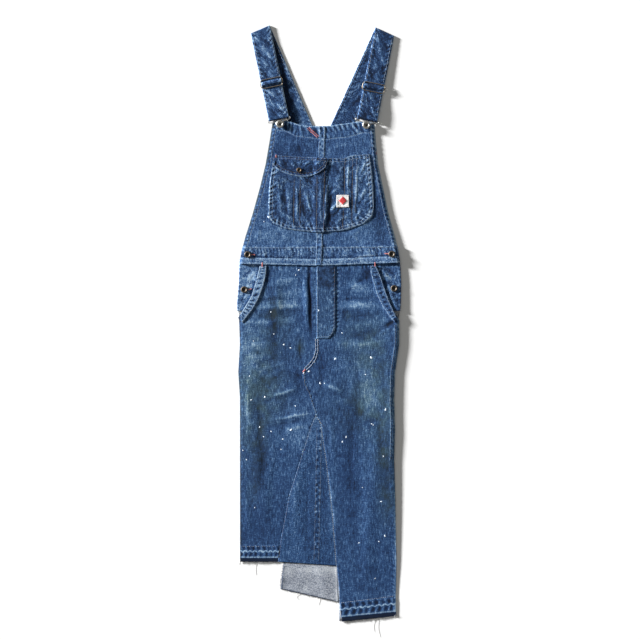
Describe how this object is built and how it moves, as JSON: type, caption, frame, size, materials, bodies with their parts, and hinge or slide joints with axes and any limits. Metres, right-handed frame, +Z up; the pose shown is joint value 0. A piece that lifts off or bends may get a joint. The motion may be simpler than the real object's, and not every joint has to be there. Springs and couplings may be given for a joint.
{
  "type": "denim pinafore dress",
  "caption": "Denim bib pinafore dress laid flat, front up: strapped bib with pocket, waistband, slanted side pockets, fly, gored skirt and stepped raw hem.",
  "frame": {"origin": "centre of the laid garment's outline, on the ground plane under its back panels", "axes": "+Z up out of the front, +Y along the garment towards the straps, +X to the viewer's right"},
  "size_m": [0.394, 1.4323, 0.0122],
  "materials": {
    "denim_front": "washed twill",
    "denim_bib": "washed twill",
    "denim_strap": "washed twill",
    "denim_gusset": "washed twill",
    "denim_back": "washed twill",
    "denim_reverse": "pale weft side",
    "label_cloth": "woven satin",
    "antique_metal": "worn antique",
    "bright_metal": "polished nickel"
  },
  "bodies": {
    "root": {"skirt_back_left": "denim_back", "skirt_back_right": "denim_back", "gusset_back": "denim_reverse", "bib_back": "denim_back", "skirt_front_left": "denim_front", "skirt_front_right": "denim_front", "gusset_front_left": "denim_gusset", "gusset_front_right": "denim_gusset", "gusset_centre_strip": "denim_gusset", "pocket_facing_left": "denim_front", "pocket_facing_right": "denim_front", "pocket_band_left": "denim_front", "pocket_band_right": "denim_front", "fly_flap": "denim_front", "waistband_front": "denim_front", "bib_front_left": "denim_bib", "bib_front_right": "denim_bib", "bib_centre_strip": "denim_bib", "bib_pocket": "denim_bib", "pocket_flap": "denim_bib", "woven_label": "label_cloth", "strap_left": "denim_strap", "strap_right": "denim_strap", "slide_left": "antique_metal", "slide_right": "antique_metal", "buckle_left": "bright_metal", "buckle_right": "bright_metal", "bib_button_left": "bright_metal", "bib_button_right": "bright_metal", "side_button_left_upper": "antique_metal", "side_button_left_lower": "antique_metal", "side_button_right_upper": "antique_metal", "side_button_right_lower": "antique_metal", "flap_button": "antique_metal"}
  },
  "joints": []
}
